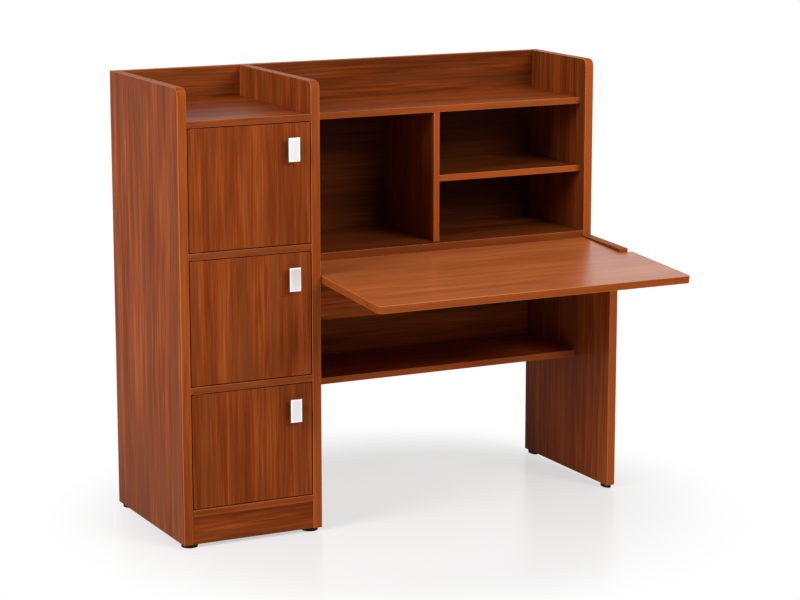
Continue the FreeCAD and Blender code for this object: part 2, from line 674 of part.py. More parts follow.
rectangle(keep_outline, "Sizes.latch_nose_height + 2 * Sizes.end_gap",
          "Sizes.latch_nose_width + 2 * Sizes.end_gap",
          "-Places.latch_reach - Sizes.latch_nose_height / 2 - Sizes.end_gap",
          "-Sizes.latch_nose_width / 2 - Sizes.end_gap")
pad(keep, keep_outline, "Sizes.keep_thickness")
tilt(keep, "Places.flap_left")
nodes["flap_keep_plate"] = keep

# Joinery: flat loose tongues of wood, each in a slot cut across the joint of two boards.
tongues = []


def tongue(name, board_label, panel_label, along, across, sign, x, y, z):
    """One tongue at a joint: its length lies along one axis and its thickness across another.

    The board lies on the signed side of the joint, the panel on the other.
    """
    size = dict.fromkeys("XYZ", "Sizes.tongue_width")
    size[along] = "Sizes.tongue_length"
    size[across] = "Sizes.tongue_thickness"
    start = {axis: f"{middle} - {size[axis]} / 2" for axis, middle in zip("XYZ", (x, y, z))}
    joint = dict(zip("XYZ", (x, y, z)))[along]
    seat = "Sizes.tongue_seat" if sign > 0 else "(Sizes.tongue_length - Sizes.tongue_seat)"
    start[along] = f"{joint} - {seat}"
    tongues.append(block(f"tongue_{name}", *size.values(), *start.values()))
    slot = seat_for(f"tongue_{name}_slot", *size.values(), *start.values())
    drills[board_label].append(slot)
    drills[panel_label].append(slot)


TOWER_ENDS = (("left", "tower_left_side", 1, "Places.locker_left"),
              ("right", "tower_right_side", -1, "Places.locker_right"))
BAY_ENDS = (("left", "tower_right_side", 1, "Places.bay_left"),
            ("right", "hutch_right_side", -1, "Places.leg_face"))
LEG_ENDS = (BAY_ENDS[0], ("right", "right_leg", -1, "Places.leg_face"))
MID_ENDS = (("left", "hutch_divider", 1, "Places.divider_right"), BAY_ENDS[1])
LEVEL_BOARDS = (
    ("tower_bottom", TOWER_ENDS, "Places.front", "Places.bottom_z"),
    ("tower_shelf_lower", TOWER_ENDS, "Places.front", "Places.shelf_lower_z"),
    ("tower_shelf_upper", TOWER_ENDS, "Places.front", "Places.shelf_upper_z"),
    ("tower_top", TOWER_ENDS, "Places.front", "Places.tower_top_z"),
    ("hutch_floor", BAY_ENDS, "Places.hutch_front", "Places.hutch_floor_z"),
    ("hutch_mid_shelf", MID_ENDS, "Places.shelf_front", "Places.mid_shelf_z"),
    ("hutch_top_shelf", BAY_ENDS, "Places.shelf_front", "Places.hutch_top_z"),
    ("lower_shelf", LEG_ENDS, "Places.lower_shelf_front", "Places.lower_shelf_z"),
)
for label, ends, near, level in LEVEL_BOARDS:
    rows = (("front", f"{near} + Sizes.tongue_margin"), ("back", "Places.back_face - Sizes.tongue_margin"))
    for (end, panel, sign, x), (row, y) in product(ends, rows):
        tongue(f"{label}_{end}_{row}", label, panel, "X", "Z", sign, x, y, f"{level} + {BOARD} / 2")

GALLERY_Y = f"Places.gallery_front + {BOARD} / 2"
UPRIGHT_BOARDS = (
    ("tower_plinth", TOWER_ENDS, f"Places.front + Sizes.plinth_recess + {BOARD} / 2",
     "Sizes.foot_height + Sizes.plinth_height / 2"),
    ("apron_rail", LEG_ENDS, f"Places.hutch_front + {BOARD} / 2",
     "Places.apron_z + Sizes.apron_height / 2"),
    ("tower_gallery", TOWER_ENDS, GALLERY_Y, "Places.panel_top - Sizes.tongue_edge"),
    ("hutch_gallery", BAY_ENDS, GALLERY_Y, f"Places.hutch_top_z + {BOARD} + Sizes.tongue_edge"),
)
for label, ends, y, z in UPRIGHT_BOARDS:
    for end, panel, sign, x in ends:
        tongue(f"{label}_{end}", label, panel, "X", "Y", sign, x, y, z)

LEG_MIDDLE = f"Places.leg_face + {SIDE} / 2"
DIVIDER_MIDDLE = f"Places.divider_left + {BOARD} / 2"
STANDING_BOARDS = (
    ("leg_rail", "right_leg", 1, LEG_MIDDLE, "Places.rail_z"),
    ("hutch_right_side", "leg_rail", 1, LEG_MIDDLE, "Places.rail_top"),
    ("hutch_divider", "hutch_floor", 1, DIVIDER_MIDDLE, f"Places.hutch_floor_z + {BOARD}"),
    ("hutch_divider", "hutch_top_shelf", -1, DIVIDER_MIDDLE, "Places.hutch_top_z"),
)
for label, panel, sign, x, z in STANDING_BOARDS:
    for row, y in (("front", "Places.hutch_front + 2 * Sizes.tongue_margin"),
                   ("back", "Places.back_face - 2 * Sizes.tongue_margin")):
        tongue(f"{label}_on_{panel}_{row}", label, panel, "Z", "X", sign, x, y, z)
nodes["loose_tongues"] = group("loose_tongues", tongues)

# Feet: a round glide nailed under each end of the two tower sides and of the leg, half of it
# standing out under the panel's inner face.
FOOT_COLUMNS = (
    ("tower_left", "Places.tower_left + Sizes.foot_inset", "Places.front"),
    ("tower_right", "Places.bay_left - Sizes.foot_inset", "Places.front"),
    ("leg", f"Places.leg_face + {SIDE} - Sizes.foot_inset", "Places.front + Sizes.leg_setback"),
)
feet = []
for column, x, near in FOOT_COLUMNS:
    for row, y in (("front", f"{near} + Sizes.foot_margin"), ("back", "Places.back - Sizes.foot_margin")):
        feet.append(rod(f"foot_{column}_{row}", "Sizes.foot_diameter", "Sizes.foot_height", "Z", x, y, "0"))
nodes["feet"] = group("feet", feet)

# Drilling: each blank with holes or slots is cut by all of them at once and hands on its name.
for label, blank in blanks.items():
    if drills[label]:
        cut = doc.addObject("Part::Cut", f"{label}_drilled")
        cut.Base = blank
        cut.Tool = group(f"{label}_holes", drills[label])
        blank.Label = f"{label}_blank"
        cut.Label = label
        nodes[label] = cut
    else:
        nodes[label] = blank

doc.recompute()
failed = [item.Label for item in doc.Objects if {"Invalid", "Error"} & set(item.State)]
assert not failed, f"failed objects: {failed}"
for label, item in nodes.items():
    assert item.Label == label, f"{item.Label} should be {label}"
    assert not item.Shape.isNull() and item.Shape.isValid(), f"{label} has no valid shape"
for label, item in nodes.items():
    item.Shape.exportStep(f"parts/{label}.step")
print(len(nodes), "nodes,", sum(len(item.Shape.Solids) for item in nodes.values()), "solids")
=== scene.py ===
import math
import bmesh
import bpy
from mathutils import Matrix, Vector


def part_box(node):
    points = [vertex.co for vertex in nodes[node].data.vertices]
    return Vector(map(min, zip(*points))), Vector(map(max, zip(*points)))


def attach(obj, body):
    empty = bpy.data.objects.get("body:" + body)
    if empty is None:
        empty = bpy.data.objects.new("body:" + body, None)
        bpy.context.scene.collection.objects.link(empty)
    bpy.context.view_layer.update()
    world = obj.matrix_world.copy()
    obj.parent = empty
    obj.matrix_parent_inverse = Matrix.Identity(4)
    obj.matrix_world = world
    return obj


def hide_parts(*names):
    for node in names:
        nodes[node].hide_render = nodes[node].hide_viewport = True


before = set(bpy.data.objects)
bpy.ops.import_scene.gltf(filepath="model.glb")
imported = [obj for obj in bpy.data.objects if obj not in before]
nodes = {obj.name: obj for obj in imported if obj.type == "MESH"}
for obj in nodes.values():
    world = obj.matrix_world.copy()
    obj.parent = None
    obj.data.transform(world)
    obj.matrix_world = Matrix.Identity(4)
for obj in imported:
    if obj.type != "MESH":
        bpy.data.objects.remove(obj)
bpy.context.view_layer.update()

# Side panels: the tower's two sides, the hutch's right side, the leg, the rail on its top and the divider.
# Chipboard faced with a satin cherry laminate, cut so that the grain runs along each board, with a
# slightly paler band glued round its edges.


class Shade:
    """A socket of a material's nodes; sums written on it add Math nodes."""

    def __init__(self, tree, socket=None):
        self.tree = tree
        self.socket = socket

    def node(self, kind, inputs=(), output=0, stops=(), **settings):
        """Adds a node: its settings first, then the values or links of its sockets."""
        made = self.tree.nodes.new(kind)
        for name, value in settings.items():
            setattr(made, name, value)
        if stops:
            ramp = made.color_ramp.elements
            while len(ramp) < len(stops):
                ramp.new(1.0)
            for stop, (position, colour) in zip(ramp, stops):
                stop.position = position
                stop.color = (*colour, 1.0)
        for key, value in dict(inputs).items():
            if isinstance(value, Shade):
                self.tree.links.new(value.socket, made.inputs[key])
            else:
                made.inputs[key].default_value = value
        return Shade(self.tree, made.outputs[output] if made.outputs else None)

    def math(self, operation, *values):
        return self.node("ShaderNodeMath", enumerate(values), operation=operation)

    def __add__(self, other):
        return self.math("ADD", self, other)

    def __sub__(self, other):
        return self.math("SUBTRACT", self, other)

    def __rsub__(self, other):
        return self.math("SUBTRACT", other, self)

    def __mul__(self, other):
        return self.math("MULTIPLY", self, other)

    def __abs__(self):
        return self.math("ABSOLUTE", self)

    __radd__ = __add__
    __rmul__ = __mul__

    def between(self, low, high):
        """0 at low and below, 1 at high and above, with a soft step between them."""
        return self.node("ShaderNodeMapRange", {"Value": self, "From Min": low, "From Max": high},
                         interpolation_type="SMOOTHSTEP")

    def mixed(self, first, second):
        """A colour that goes from the first to the second by this share."""
        factor, colour_a, colour_b, result = 0, 6, 7, 2
        inputs = {factor: self}
        for socket, colour in ((colour_a, first), (colour_b, second)):
            inputs[socket] = colour if isinstance(colour, Shade) else (*colour, 1.0)
        return self.node("ShaderNodeMix", inputs, output=result, data_type="RGBA")


def new_finish(name):
    """An empty material and a Shade to build its nodes with."""
    material = bpy.data.materials.new(name)
    material.use_nodes = True
    material.node_tree.nodes.clear()
    return material, Shade(material.node_tree)


def surfaced(material, shade, **sockets):
    """Closes a material with one Principled surface."""
    values = {name.replace("_", " "): value for name, value in sockets.items()}
    surface = shade.node("ShaderNodeBsdfPrincipled", values)
    shade.node("ShaderNodeOutputMaterial", {"Surface": surface})
    return material


def wear(label, material):
    """Gives a CAD node its finish."""
    nodes[label].material_slots[0].material = material


X, Y, Z = range(3)
CHERRY = ((0.34, (0.138, 0.0235, 0.0042)), (0.44, (0.188, 0.034, 0.0056)),
          (0.50, (0.238, 0.044, 0.0074)), (0.56, (0.292, 0.059, 0.010)), (0.66, (0.372, 0.087, 0.017)))
UMBER = (0.160, 0.050, 0.014)
BAND = (0.370, 0.077, 0.012)
ARRIS_HIGHLIGHT = (0.640, 0.270, 0.105)
STRIPE = {"width": 0.055, "length": 0.70, "warp": 0.6}
FIGURE = {"width": 0.011, "length": 0.34, "warp": 0.6, "detail": 3.0}
FIBRE = {"width": 0.0036, "length": 0.14}
SMOKE = {"width": 0.030, "length": 0.62, "warp": 0.6}
STRIPE_SHARE, FIGURE_SHARE, FIBRE_SHARE = 0.34, 0.34, 0.32
GRAIN_GAIN = 1.20
SMOKE_SHARE = 0.55


def streaks(shade, place, along, seed, width, length, detail=2.0, warp=0.0):
    """Noise drawn out along the grain, with a mean width across it."""
    scale = [1 / width] * 3
    scale[along] = 1 / length
    start = (seed, 2.3 * seed, 3.7 * seed)
    moved = shade.node("ShaderNodeMapping", {"Vector": place, "Location": start, "Scale": scale})
    return shade.node("ShaderNodeTexNoise", {"Vector": moved, "Scale": 1.0, "Detail": detail,
                                             "Roughness": 0.55, "Distortion": warp})


def toned(stops, painted_light):
    """The stops of a colour ramp, made lighter or darker as painted shade or painted lighting."""
    return [(stop, [part * painted_light for part in colour]) for stop, colour in stops]


def cherry(name, along, face, seed, gloss=0.34, specular=0.02, painted_light=1.0, band_and_painted_highlight=0.65, contrast=1.0,
           painted_top_highlight=None, arris_highlight=0.55, lacquer=0.0):
    """Cherry laminate: grain along one axis, broad faces square to another, edges banded.

    A lightness factor darkens the whole board as painted shade, or lightens it as painted lighting where
    it is above one. The paler edge tint is real, but its share is set board by board partly as a painted
    highlight on the edges. A pale painted highlight tints the rounded corners. A tint lightens the upward
    face alone as a painted highlight, and the lacquer is the gloss of that face.
    """
    material, shade = new_finish(name)
    place = shade.node("ShaderNodeTexCoord", output="Object")
    stripe = streaks(shade, place, along, seed, **STRIPE)
    figure = streaks(shade, place, along, seed + 5, **FIGURE)
    fibre = streaks(shade, place, along, seed + 9, **FIBRE)
    grain = stripe * STRIPE_SHARE + figure * FIGURE_SHARE + fibre * FIBRE_SHARE
    tone = (grain - 0.5) * (GRAIN_GAIN * contrast) + 0.5
    wood = shade.node("ShaderNodeValToRGB", {"Fac": tone}, stops=toned(CHERRY, painted_light))
    smoke = streaks(shade, place, along, seed + 21, **SMOKE).between(0.44, 0.70)
    wood = (smoke * SMOKE_SHARE * contrast).mixed(wood, [part * painted_light for part in UMBER])
    normal = shade.node("ShaderNodeTexCoord", output="Normal")
    coat = {}
    # Painted highlight: the upward face is lightened by a tint of its own, as where it is lit from above.
    if painted_top_highlight:
        upward = shade.node("ShaderNodeSeparateXYZ", {"Vector": normal}, output=Z).between(0.80, 0.95)
        highlighted_top = shade.node("ShaderNodeVectorMath", {0: wood, 1: painted_top_highlight}, operation="MULTIPLY")
        wood = upward.mixed(wood, highlighted_top)
        coat = {"Coat_Weight": upward * lacquer, "Coat_Roughness": gloss}
    across = abs(shade.node("ShaderNodeSeparateXYZ", {"Vector": normal}, output=face))
    # The paler edge tint is real edge banding; its share, set board by board, is partly a painted
    # highlight on the edges.
    if band_and_painted_highlight:
        wood = ((1 - across.between(0.60, 0.85)) * band_and_painted_highlight).mixed(wood, BAND)
    # Painted highlight: a pale tint on the rounded corners of the edges.
    rounded = across.between(0.15, 0.45) * (1 - across.between(0.80, 0.97))
    wood = (rounded * arris_highlight).mixed(wood, ARRIS_HIGHLIGHT)
    bump = shade.node("ShaderNodeBump", {"Strength": 0.08, "Distance": 0.0004, "Height": fibre})
    return surfaced(material, shade, Base_Color=wood, Roughness=gloss + fibre * 0.10, Normal=bump,
                    Specular_IOR_Level=specular, **coat)


# The hutch's right side and divider are darkened as painted shade inside the hutch.
UPRIGHT_PANELS = {"tower_left_side": {"band_and_painted_highlight": 0.30, "contrast": 1.20},
                  "tower_right_side": {"band_and_painted_highlight": 0.40},
                  "hutch_right_side": {"painted_light": 0.74, "band_and_painted_highlight": 0.95},
                  "right_leg": {"band_and_painted_highlight": 0.65},
                  "hutch_divider": {"painted_light": 0.76, "band_and_painted_highlight": 1.0}}
for seed, (label, tuning) in enumerate(UPRIGHT_PANELS.items(), start=11):
    wear(label, cherry(f"{label}_cherry", Z, X, seed, **tuning))
wear("leg_rail", cherry("leg_rail_cherry", Y, X, 17))

# Shelves: the four boards of the tower, the hutch's floor, top and middle shelf, and the lower shelf.
# The same cherry laminate with its grain from side to side and the band on the front edge.
# The first number darkens the boards inside the tower and the hutch as painted shade and lightens the
# lower shelf under the desk as painted lighting.
SHELVES = {"tower_bottom": (0.90, 0.10), "tower_shelf_lower": (0.90, 0.10),
           "tower_shelf_upper": (0.90, 0.10), "tower_top": (0.95, 0.10),
           "hutch_floor": (0.60, 0.30), "hutch_top_shelf": (1.00, 0.45),
           "hutch_mid_shelf": (0.66, 1.00), "lower_shelf": (1.50, 0.50)}
for seed, (label, (painted_light, band_and_painted_highlight)) in enumerate(SHELVES.items(), start=21):
    wear(label, cherry(f"{label}_cherry", X, Z, seed, gloss=0.26, specular=0.04, painted_light=painted_light, band_and_painted_highlight=band_and_painted_highlight,
                       arris_highlight=0.35))

# Rails that stand on edge: the plinth under the lockers, the two galleries and the apron below the desk.
# Cherry laminate with the grain from side to side.
# The numbers darken the plinth and the galleries as painted shade and lighten the apron under the desk as
# painted lighting.
RAILS = {"tower_plinth": 0.85, "tower_gallery": 0.88, "hutch_gallery": 0.70, "apron_rail": 1.18}
for seed, (label, painted_light) in enumerate(RAILS.items(), start=31):
    wear(label, cherry(f"{label}_cherry", X, Y, seed, painted_light=painted_light))

# Backs: thin hardboard let in between the panels. A wood print covers the front, the rear shows the bare
# pressed fibre, and wire nails hold it to the boards that it covers.
PRINT = ((0.30, (0.045, 0.008, 0.002)), (0.52, (0.095, 0.019, 0.003)), (0.72, (0.150, 0.034, 0.006)))
PRESSED = ((0.36, (0.205, 0.105, 0.048)), (0.50, (0.305, 0.172, 0.086)),
           (0.64, (0.410, 0.252, 0.138)))
PRINT_STRIPE = {"width": 0.045, "length": 0.90, "warp": 0.3}
PRINT_FINE = {"width": 0.004, "length": 0.16}
FLECKS, CLUMPS, CLOUDS = 420.0, 110.0, 7.0
FLECK_SHARE, CLUMP_SHARE, CLOUD_SHARE = 0.30, 0.45, 0.25


def hardboard(name, seed, painted_light):
    """A wood print on the front and pressed fibre on the rear."""
    material, shade = new_finish(name)
    place = shade.node("ShaderNodeTexCoord", output="Object")
    stripe = streaks(shade, place, X, seed, **PRINT_STRIPE)
    fine = streaks(shade, place, X, seed + 4, **PRINT_FINE)
    grain = stripe * 0.6 + fine * 0.4
    front = shade.node("ShaderNodeValToRGB", {"Fac": grain}, stops=toned(PRINT, painted_light))
    flecks, clumps, clouds = [shade.node("ShaderNodeTexNoise", {"Vector": place, "Scale": scale,
                                                                "Detail": 4.0, "Roughness": 0.7})
                              for scale in (FLECKS, CLUMPS, CLOUDS)]
    pressed = flecks * FLECK_SHARE + clumps * CLUMP_SHARE + clouds * CLOUD_SHARE
    rear = shade.node("ShaderNodeValToRGB", {"Fac": pressed}, stops=PRESSED)
    normal = shade.node("ShaderNodeTexCoord", output="Normal")
    behind = shade.node("ShaderNodeSeparateXYZ", {"Vector": normal}, output=Y).between(-0.2, 0.2)
    bump = shade.node("ShaderNodeBump", {"Strength": 0.25, "Distance": 0.0005,
                                         "Height": flecks * behind})
    return surfaced(material, shade, Base_Color=behind.mixed(front, rear),
                    Roughness=0.40 + behind * 0.45, Normal=bump, Specular_IOR_Level=0.03)


# The numbers darken the hutch's back as painted shade and lighten the back under the desk 3.6 times as
# painted lighting.
BACKS = {"tower_back": 1.0, "hutch_back": 0.80, "lower_back": 3.6}
for seed, (label, painted_light) in enumerate(BACKS.items(), start=41):
    wear(label, hardboard(f"{label}_hardboard", seed, painted_light))

STEEL_TONES = ((0.30, (0.42, 0.42, 0.41)), (0.70, (0.66, 0.66, 0.64)))


def plated_steel(name):
    """Zinc plating with a faint cloudiness."""
    material, shade = new_finish(name)
    place = shade.node("ShaderNodeTexCoord", output="Object")
    cloud = shade.node("ShaderNodeTexNoise", {"Vector": place, "Scale": 260.0, "Detail": 3.0})
    tone = shade.node("ShaderNodeValToRGB", {"Fac": cloud}, stops=STEEL_TONES)
    return surfaced(material, shade, Base_Color=tone, Metallic=1.0, Roughness=0.28 + cloud * 0.16)


def placed(point, outward):
    """The turn and move that stand a shape built on +Z on a face with that outward direction."""
    return Matrix.Translation(point) @ Vector(outward).to_track_quat("Z", "Y").to_matrix().to_4x4()


def new_piece(name, mesh, material, body):
    """Makes an object of a finished bmesh, with its place in its mesh."""
    bmesh.ops.recalc_face_normals(mesh, faces=mesh.faces)
    data = bpy.data.meshes.new(name)
    mesh.to_mesh(data)
    mesh.free()
    data.materials.append(material)
    piece = bpy.data.objects.new(name, data)
    bpy.context.scene.collection.objects.link(piece)
    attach(piece, body)
    return piece


def nail_head(mesh, point, outward):
    """A low domed head, set down to the face."""
    radius, rise, dome, segments = 0.0022, 0.00018, 0.6, 10
    ring = bmesh.ops.create_circle(mesh, cap_ends=True, segments=segments, radius=radius)["verts"]
    disc = list({face for vert in ring for face in vert.link_faces})
    cap = bmesh.ops.extrude_face_region(mesh, geom=disc)["geom"]
    top = [item for item in cap if isinstance(item, bmesh.types.BMVert)]
    bmesh.ops.translate(mesh, verts=top, vec=(0, 0, rise))
    bmesh.ops.scale(mesh, verts=top, vec=(dome, dome, 1))
    bmesh.ops.transform(mesh, matrix=placed(point, outward), verts=ring + top)


steel = plated_steel("zinc_plated_steel")
NAIL_PITCH = 0.11
NAIL_MARGIN = 0.025
NAILED = {"tower_back": ("tower_bottom", "tower_shelf_lower", "tower_shelf_upper"),
          "hutch_back": ("hutch_floor", "hutch_mid_shelf"), "lower_back": ("lower_shelf",)}
nails = bmesh.new()
for back, boards in NAILED.items():
    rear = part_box(back)[1].y
    for board in boards:
        low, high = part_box(board)
        span = high.x - low.x - 2 * NAIL_MARGIN
        count = round(span / NAIL_PITCH)
        for index in range(count + 1):
            x = low.x + NAIL_MARGIN + span * index / count
            nail_head(nails, (x, rear, (low.z + high.z) / 2), (0, 1, 0))
new_piece("back_nails", nails, steel, "carcass")

# Locker doors: three inset doors of the laminate with upright grain, each cut from its own sheet.
# Their edges are covered in the same laminate and their front arrises are softened.
# The numbers darken the doors a little as painted shade, the lowest most.
LOCKERS = {"lower": 0.86, "middle": 0.92, "upper": 0.95}
for seed, (locker, painted_light) in enumerate(LOCKERS.items(), start=51):
    finish = cherry(f"door_{locker}_cherry", Z, Y, seed, painted_light=painted_light, band_and_painted_highlight=0.0, contrast=0.85, arris_highlight=0.10)
    wear(f"door_{locker}", finish)

# Pull handles: cast aluminium plates on a narrower stem, satin brushed and anodised, with a painted
# highlight round the plate's edge. Two screws from inside the door hold each one.
BRUSHED = ((0.30, (0.72, 0.72, 0.74)), (0.70, (0.86, 0.86, 0.88)))
PAINTED_RIM_HIGHLIGHT = (0.97, 0.97, 0.97)
BRUSH = {"width": 0.0003, "length": 0.02}
BORDER = 0.0055


def brushed(name, middle, half):
    """Satin aluminium brushed upright, with a painted highlight within a border of the plate's outline."""
    material, shade = new_finish(name)
    place = shade.node("ShaderNodeTexCoord", output="Object")
    brush = streaks(shade, place, Z, 61, **BRUSH)
    tone = shade.node("ShaderNodeValToRGB", {"Fac": brush}, stops=BRUSHED)
    offset = shade.node("ShaderNodeVectorMath", {0: place, 1: middle}, operation="SUBTRACT")
    near = []
    for axis in (X, Z):
        away = abs(shade.node("ShaderNodeSeparateXYZ", {"Vector": offset}, output=axis))
        near.append(away.between(half[axis] - BORDER, half[axis] - BORDER / 2))
    border = shade.math("MAXIMUM", *near)
    bump = shade.node("ShaderNodeBump", {"Strength": 0.05, "Distance": 0.0001, "Height": brush})
    # The border takes a near-white painted highlight.
    return surfaced(material, shade, Base_Color=border.mixed(tone, PAINTED_RIM_HIGHLIGHT), Metallic=1.0,
                    Roughness=0.24 + brush * 0.14, Normal=bump)


def screw_head(mesh, point, outward, radius, rise):
    """A flat head with a cross recess, a little proud of its face and sunk in it below the recess."""
    arm, slot, depth = 0.62 * radius, 0.17 * radius, 0.35 * radius
    taper, crown = 0.8, 0.88
    foot = max(rise, 1.15 * depth)
    corner = [(arm, -slot), (arm, slot), (slot, slot)]
    cross = [Matrix.Rotation(math.pi / 2 * turn, 2) @ Vector(xy) for turn in range(4) for xy in corner]
    inner = [mesh.verts.new((*xy, rise)) for xy in cross]
    mouth = [mesh.edges.new((inner[index - 1], inner[index])) for index in range(len(inner))]
    rim = bmesh.ops.create_circle(mesh, segments=len(inner), radius=crown * radius,
                                  matrix=Matrix.Translation((0, 0, rise)))["verts"]
    edge = list({link for vert in rim for link in vert.link_edges})
    bmesh.ops.bridge_loops(mesh, edges=mouth + edge)
    made = list(inner) + list(rim)
    for loop, sink, grow in ((mouth, depth, taper), (edge, foot, 1 / crown)):
        wall = bmesh.ops.extrude_edge_only(mesh, edges=loop)["geom"]
        verts = [item for item in wall if isinstance(item, bmesh.types.BMVert)]
        bmesh.ops.translate(mesh, verts=verts, vec=(0, 0, -sink))
        bmesh.ops.scale(mesh, verts=verts, vec=(grow, grow, 1))
        made += verts
        brim = [item for item in wall if isinstance(item, bmesh.types.BMEdge) and len(item.link_faces) < 2]
        bmesh.ops.contextual_create(mesh, geom=brim)
    bmesh.ops.transform(mesh, matrix=placed(point, outward), verts=made)


HANDLE_PITCH = 0.032
for locker in LOCKERS:
    low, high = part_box(f"handle_{locker}")
    middle = (low + high) / 2
    wear(f"handle_{locker}", brushed(f"handle_{locker}_aluminium", middle, (high - low) / 2))
    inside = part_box(f"door_{locker}")[1].y
    screws = bmesh.new()
    for side in (-0.5, 0.5):
        point = (middle.x, inside, middle.z + side * HANDLE_PITCH)
        screw_head(screws, point, (0, 1, 0), radius=0.0042, rise=0.0016)
    new_piece(f"handle_screws_{locker}", screws, steel, f"door_{locker}")

# Door pivots: a steel pin at the head and foot of each door, near its left edge.
# They turn in brown moulded blocks let into the boards above and below.
BROWN = ((0.35, (0.040, 0.016, 0.008)), (0.65, (0.062, 0.026, 0.013)))


def moulding(name, stops, roughness, specular):
    """Plain moulded plastic with the fine spark grain of its tool."""
    material, shade = new_finish(name)
    place = shade.node("ShaderNodeTexCoord", output="Object")
    grain = shade.node("ShaderNodeTexNoise", {"Vector": place, "Scale": 1500.0, "Detail": 2.0})
    tone = shade.node("ShaderNodeValToRGB", {"Fac": grain}, stops=stops)
    bump = shade.node("ShaderNodeBump", {"Strength": 0.20, "Distance": 0.0002, "Height": grain})
    return surfaced(material, shade, Base_Color=tone, Roughness=roughness + grain * 0.15, Normal=bump,
                    Specular_IOR_Level=specular)


brown_plastic = moulding("brown_plastic", BROWN, 0.42, 0.40)
wear("door_pivot_blocks", brown_plastic)
for locker in LOCKERS:
    wear(f"door_pins_{locker}", steel)

# Magnetic catches: a brown moulded housing with two ears screwed up under the board.
# A pair of steel poles holds the strike plate that is screwed to the door's inner face.
POLE_LENGTH = 0.026
POLE_HEIGHT = 0.0016
POLE_RISE = 0.00015
POLE_DEPTH = 0.004
POLE_OFFSET = 0.0028
EAR_SPAN = 0.045
EAR_THICKNESS = 0.0025
for locker in LOCKERS:
    wear(f"magnetic_catch_{locker}", brown_plastic)
    wear(f"strike_plate_{locker}", steel)
    low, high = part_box(f"magnetic_catch_{locker}")
    middle = (low + high) / 2
    poles = bmesh.new()
    for side in (-1, 1):
        centre = (middle.x, low.y - POLE_RISE + POLE_DEPTH / 2, middle.z + side * POLE_OFFSET)
        plate = bmesh.ops.create_cube(poles, size=1.0)["verts"]
        bmesh.ops.scale(poles, verts=plate, vec=(POLE_LENGTH, POLE_DEPTH, POLE_HEIGHT))
        bmesh.ops.translate(poles, verts=plate, vec=centre)
    bmesh.ops.bevel(poles, geom=poles.edges[:], offset=0.0001, affect="EDGES", segments=1,
                    profile=0.5, material=-1)
    for side in (-0.5, 0.5):
        point = (middle.x + side * EAR_SPAN, middle.y, high.z - EAR_THICKNESS)
        screw_head(poles, point, (0, 0, -1), radius=0.0028, rise=0.0012)
    new_piece(f"catch_poles_and_screws_{locker}", poles, steel, "carcass")
    low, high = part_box(f"strike_plate_{locker}")
    middle = (low + high) / 2
    strike_screw = bmesh.new()
    screw_head(strike_screw, (middle.x, high.y, middle.z), (0, 1, 0), radius=0.0026, rise=0.00012)
    new_piece(f"strike_screw_{locker}", strike_screw, steel, f"door_{locker}")

# Desk flap: a thicker board in the same cherry with a glossier writing face, a half-round rear edge that
# turns on the pivots and rounded front corners, banded all round.
# Its upward face is lightened and paled by a tint as a painted highlight, and has a clear coat of its own.
wear("desk_flap", cherry("desk_flap_cherry", X, Z, 71, gloss=0.30, band_and_painted_highlight=0.45, contrast=0.55,
                         painted_top_highlight=(1.88, 2.45, 3.30), lacquer=0.84))

# Flap pivots: an 8 mm steel pin in each end of the flap's tail.
# They turn in moulded blocks in the tower's side and the leg's rail.
wear("flap_pivot_pins", steel)
wear("flap_pivot_blocks", brown_plastic)

# Support battens: bars of stained and lacquered hardwood under the open flap.
# Two countersunk screws hold each to the tower's side or to the leg.
STAINED = ((0.30, (0.070, 0.019, 0.006)), (0.70, (0.150, 0.046, 0.014)))
hardwood, shade = new_finish("stained_hardwood")
place = shade.node("ShaderNodeTexCoord", output="Object")
grain = streaks(shade, place, Y, 81, width=0.004, length=0.09, detail=3.0, warp=0.4)
tone = shade.node("ShaderNodeValToRGB", {"Fac": grain}, stops=STAINED)
bump = shade.node("ShaderNodeBump", {"Strength": 0.15, "Distance": 0.0004, "Height": grain})
surfaced(hardwood, shade, Base_Color=tone, Roughness=0.34 + grain * 0.15, Normal=bump,
         Specular_IOR_Level=0.35)
FLAP_SLOPE = math.radians(3.6)
flap_run = Vector((0, math.cos(FLAP_SLOPE), math.sin(FLAP_SLOPE)))
BATTEN_SCREWS = 0.030
batten_screws = bmesh.new()
for end, outward in (("left", 1), ("right", -1)):
    wear(f"flap_batten_{end}", hardwood)
    low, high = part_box(f"flap_batten_{end}")
    middle = (low + high) / 2
    for side in (-1, 1):
        point = middle + flap_run * side * BATTEN_SCREWS
        point.x = high.x if outward > 0 else low.x
        screw_head(batten_screws, point, (outward, 0, 0), radius=0.0040, rise=0.0003)
new_piece("batten_screws", batten_screws, steel, "carcass")

# Latch and keep: a sprung latch of polished brass in the tower's side, and a keep plate of bronzed brass
# let into the flap's left edge. Small screws of the same brass hold each.
BRASS_TONES = ((0.30, (0.60, 0.41, 0.15)), (0.70, (0.78, 0.57, 0.25)))
brass, shade = new_finish("polished_brass")
place = shade.node("ShaderNodeTexCoord", output="Object")
rubbed = streaks(shade, place, Z, 91, width=0.0006, length=0.01)
tone = shade.node("ShaderNodeValToRGB", {"Fac": rubbed}, stops=BRASS_TONES)
surfaced(brass, shade, Base_Color=tone, Metallic=1.0, Roughness=0.16 + rubbed * 0.14)
wear("flap_latch", brass)
BRONZE_TONES = ((0.30, (0.150, 0.040, 0.010)), (0.70, (0.200, 0.056, 0.015)))
bronze, shade = new_finish("bronzed_brass")
place = shade.node("ShaderNodeTexCoord", output="Object")
cloud = shade.node("ShaderNodeTexNoise", {"Vector": place, "Scale": 300.0, "Detail": 3.0})
tone = shade.node("ShaderNodeValToRGB", {"Fac": cloud}, stops=BRONZE_TONES)
surfaced(bronze, shade, Base_Color=tone, Metallic=0.20, Roughness=0.42 + cloud * 0.14)
wear("flap_keep_plate", bronze)
